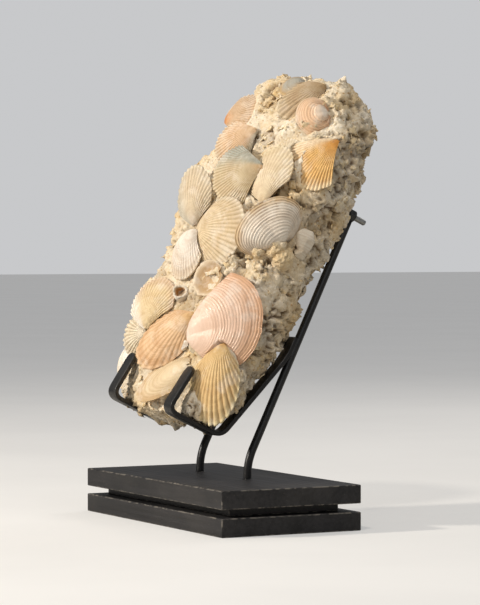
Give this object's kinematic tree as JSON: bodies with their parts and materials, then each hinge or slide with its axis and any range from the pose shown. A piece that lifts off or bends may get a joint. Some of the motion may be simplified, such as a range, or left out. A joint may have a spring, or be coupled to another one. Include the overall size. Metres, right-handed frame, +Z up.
{
  "type": "fossil shell slab on stand",
  "caption": "Thick slab of pale fossil shell rock with scallops, cockles and a large clam, leaning in flat-bar hooks on a black display stand.",
  "frame": {"origin": "middle of the base's underside", "axes": "+X along the base's long side to the right seen from the front, -Y to the front, +Z up"},
  "size_m": [0.3, 0.2412, 0.4449],
  "materials": {
    "shell_rock": "rough, gritty shell rock with broken fragments",
    "shell_cream": "matt fossil shell with fine ribs",
    "shell_white": "matt chalky fossil shell",
    "shell_peach": "satin fossil shell with growth ridges",
    "shell_yellow": "matt fossil shell with strong ribs",
    "base_wood": "black stained board, satin, worn edges",
    "black_steel": "satin black",
    "stud_steel": "plain threaded steel"
  },
  "bodies": {
    "root": {"base_lower_board": "base_wood", "base_spacer": "base_wood", "base_upper_board": "base_wood", "rod_left": "black_steel", "rod_right": "black_steel", "hook_left": "black_steel", "hook_right": "black_steel", "nut_left": "black_steel", "nut_right": "black_steel", "stud_left": "stud_steel", "stud_right": "stud_steel", "matrix": "shell_rock", "clam_large": "shell_peach", "cockle_ridged": "shell_white", "scallop_pair_right": "shell_cream", "scallop_pair_left": "shell_white", "scallop_leaf": "shell_cream", "scallop_tip": "shell_yellow", "scallop_grey": "shell_cream", "scallop_peach": "shell_peach", "scallop_upright": "shell_cream", "scallop_orange": "shell_yellow", "cockle_crown": "shell_peach", "scallop_crown": "shell_cream", "valve_crown": "shell_white", "scallop_behind": "shell_cream", "scallop_long": "shell_peach", "scallop_shoulder": "shell_yellow", "scallop_small": "shell_cream", "cockle_side": "shell_white", "scallop_foot": "shell_yellow", "valve_flat": "shell_peach", "scallop_side_upper": "shell_cream", "scallop_side_lower": "shell_peach", "cockle_side_back": "shell_white", "scallop_back": "shell_cream", "clam_back": "shell_peach", "scallop_back_low": "shell_cream"}
  },
  "joints": []
}
